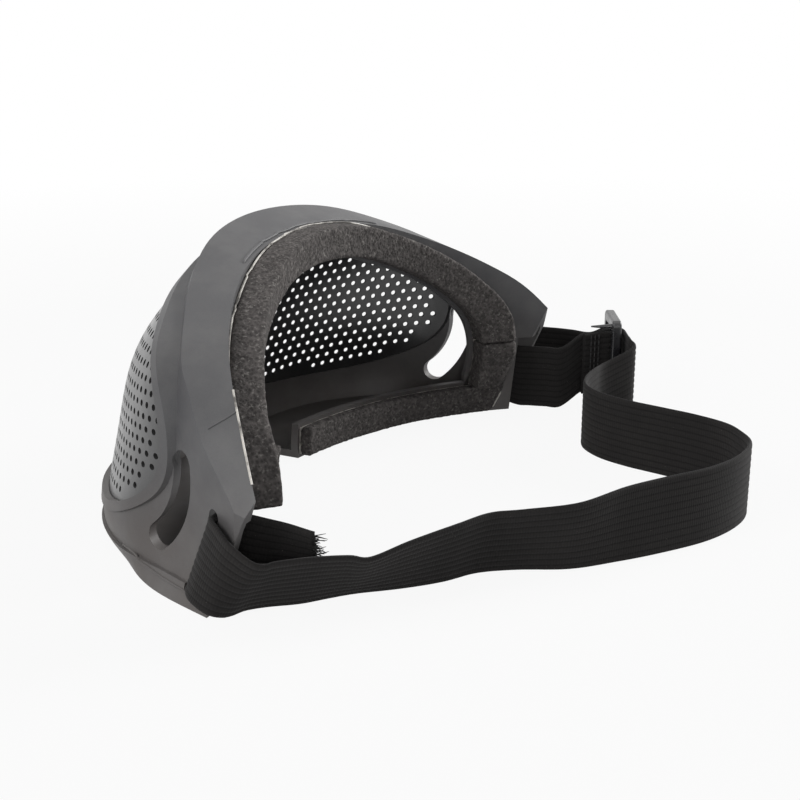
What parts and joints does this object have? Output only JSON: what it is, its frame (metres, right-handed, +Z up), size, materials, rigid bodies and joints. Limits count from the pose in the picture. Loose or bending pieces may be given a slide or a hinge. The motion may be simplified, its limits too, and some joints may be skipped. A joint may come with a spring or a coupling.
{
  "type": "mesh safety goggles",
  "caption": "Wraparound goggles with bowed perforated metal lenses, foam face gasket, side vents and an elastic strap through temple slots with a slide buckle.",
  "frame": {"origin": "centre of the base of the whole part's box, on the surface that it stands on", "axes": "+X towards the wearer's right temple, +Y forwards away from the face, +Z up"},
  "size_m": [0.202, 0.1594, 0.0737],
  "materials": {
    "frame_rubber": "soft matt moulded rubber",
    "lens_metal": "satin black perforated sheet",
    "foam": "open-cell foam, speckled",
    "tape": "pale adhesive tape",
    "webbing": "ribbed elastic webbing",
    "stitching": "thread",
    "buckle_plastic": "semi-gloss moulded plastic"
  },
  "bodies": {
    "root": {"goggle_frame": "frame_rubber", "right_mesh_lens": "lens_metal", "left_mesh_lens": "lens_metal", "brow_foam": "foam", "right_temple_foam": "foam", "left_cheek_foam": "foam", "right_cheek_foam": "foam", "brow_tape": "tape", "right_temple_tape": "tape", "left_cheek_tape": "tape", "right_cheek_tape": "tape", "strap_tail": "webbing", "strap_near_turn": "webbing", "strap_near_run": "webbing", "strap_rear_turn": "webbing", "strap_far_run": "webbing", "strap_buckle_thread": "webbing", "strap_outer_ply": "webbing", "strap_far_turn": "webbing", "strap_inner_ply": "webbing", "strap_sewn_end": "webbing", "strap_tack": "stitching"},
    "buckle": {"buckle_frame": "buckle_plastic", "buckle_bar": "buckle_plastic"}
  },
  "joints": [
    {"name": "buckle_tilt", "type": "hinge", "parent": "root", "child": "buckle", "pos_m": [0.09253, -0.01683, 0.01475], "axis": [0, 0, 1], "range_deg": [-25, 4]}
  ]
}
